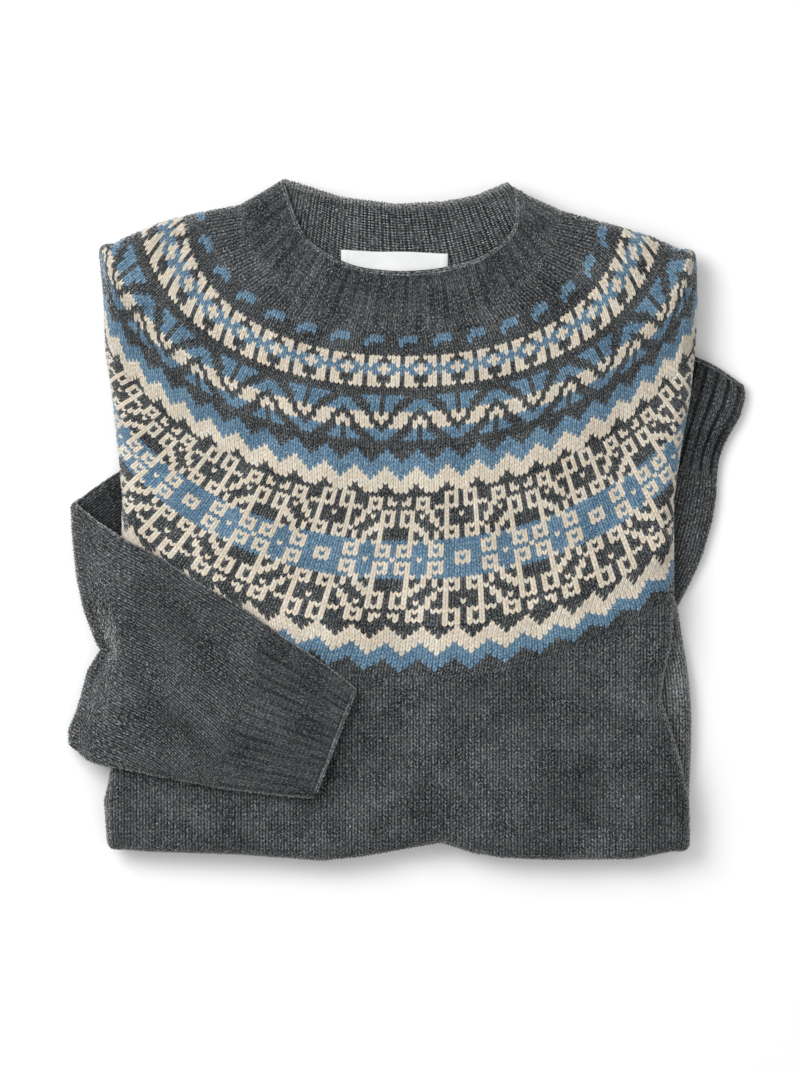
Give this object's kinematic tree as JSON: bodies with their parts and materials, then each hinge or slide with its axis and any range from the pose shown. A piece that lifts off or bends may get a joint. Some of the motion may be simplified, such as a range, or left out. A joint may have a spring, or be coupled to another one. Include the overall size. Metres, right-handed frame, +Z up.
{
  "type": "folded fair isle jumper",
  "caption": "Wool jumper with a round patterned yoke, folded flat with one sleeve laid across the front, for resting on a shelf or table.",
  "frame": {"origin": "middle of the folded garment's plan, on the surface it rests on", "axes": "+Z up through the pile of layers, +Y towards the neck, +X towards the right as seen from above"},
  "size_m": [0.5068, 0.5112, 0.0367],
  "materials": {
    "patterned_wool": "soft brushed stranded knit in grey, blue and cream",
    "grey_wool": "soft brushed melange stocking stitch",
    "label_tape": "smooth woven tape"
  },
  "bodies": {
    "root": {"yoke_front": "patterned_wool", "body_front": "grey_wool", "folded_layers": "grey_wool", "side_fold_right": "grey_wool", "neckband_front": "grey_wool", "neckband_back": "grey_wool", "neck_label": "label_tape", "sleeve_left": "grey_wool", "cuff_left": "grey_wool", "sleeve_right": "grey_wool", "cuff_right": "grey_wool"}
  },
  "joints": []
}
